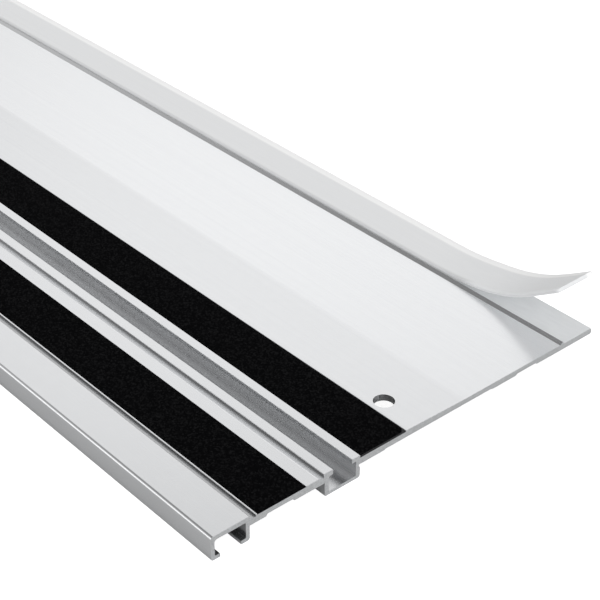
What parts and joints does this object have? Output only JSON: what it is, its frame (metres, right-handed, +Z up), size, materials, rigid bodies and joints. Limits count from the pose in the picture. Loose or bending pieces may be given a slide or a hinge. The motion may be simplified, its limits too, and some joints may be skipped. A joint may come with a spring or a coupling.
{
  "type": "threshold strip",
  "caption": "Low aluminium door threshold extrusion with a hooked nose channel, an open rail channel, anti-slip treads, fixing holes and a bonding ledge under a peel strip.",
  "frame": {"origin": "under the middle of the strip, on the floor plane that the rail and the nose stand on", "axes": "+X along the strip towards the end with the lifted peel tail, +Y from the nose to the bonding ledge, +Z up from the floor"},
  "size_m": [0.61, 0.1416, 0.0223],
  "materials": {
    "extrusion": "satin anodised, drawn lines along the length",
    "tread_grit": "black mineral grit in resin",
    "tread_adhesive": "dark carrier film with adhesive",
    "ledge_adhesive": "clear tacky film",
    "peel_strip": "satin white plastic"
  },
  "bodies": {
    "strip": {"base_profile": "extrusion", "front_tread_adhesive": "tread_adhesive", "front_tread_grit": "tread_grit", "rear_tread_adhesive": "tread_adhesive", "rear_tread_grit": "tread_grit", "ledge_adhesive_film": "ledge_adhesive", "peel_strip_bonded": "peel_strip"},
    "peel_tail_1": {"peel_tail_1": "peel_strip"},
    "peel_tail_2": {"peel_tail_2": "peel_strip"},
    "peel_tail_3": {"peel_tail_3": "peel_strip"},
    "peel_tail_4": {"peel_tail_4": "peel_strip"},
    "peel_tail_5": {"peel_tail_5": "peel_strip"}
  },
  "joints": [
    {"name": "peel_curl_1", "type": "hinge", "parent": "strip", "child": "peel_tail_1", "pos_m": [0.2578, 0.0634, 0.00675], "axis": [0, -1, 0], "range_deg": [-6.2, 18], "stiffness_Nm_per_rad": 0.02},
    {"name": "peel_curl_2", "type": "hinge", "parent": "peel_tail_1", "child": "peel_tail_2", "pos_m": [0.27191, 0.0634, 0.00833], "axis": [0, -1, 0], "range_deg": [-6.2, 18]},
    {"name": "peel_curl_3", "type": "hinge", "parent": "peel_tail_2", "child": "peel_tail_3", "pos_m": [0.27835, 0.0634, 0.00979], "axis": [0, -1, 0], "range_deg": [-6.2, 18]},
    {"name": "peel_curl_4", "type": "hinge", "parent": "peel_tail_3", "child": "peel_tail_4", "pos_m": [0.28382, 0.0634, 0.0117], "axis": [0, -1, 0], "range_deg": [-6.2, 18]},
    {"name": "peel_curl_5", "type": "hinge", "parent": "peel_tail_4", "child": "peel_tail_5", "pos_m": [0.28924, 0.0634, 0.0143], "axis": [0, -1, 0], "range_deg": [-6.2, 18]}
  ],
  "couplings": [
    {"joint": "peel_curl_2", "follows": "peel_curl_1", "ratio": 1},
    {"joint": "peel_curl_3", "follows": "peel_curl_1", "ratio": 1},
    {"joint": "peel_curl_4", "follows": "peel_curl_1", "ratio": 1},
    {"joint": "peel_curl_5", "follows": "peel_curl_1", "ratio": 1}
  ]
}
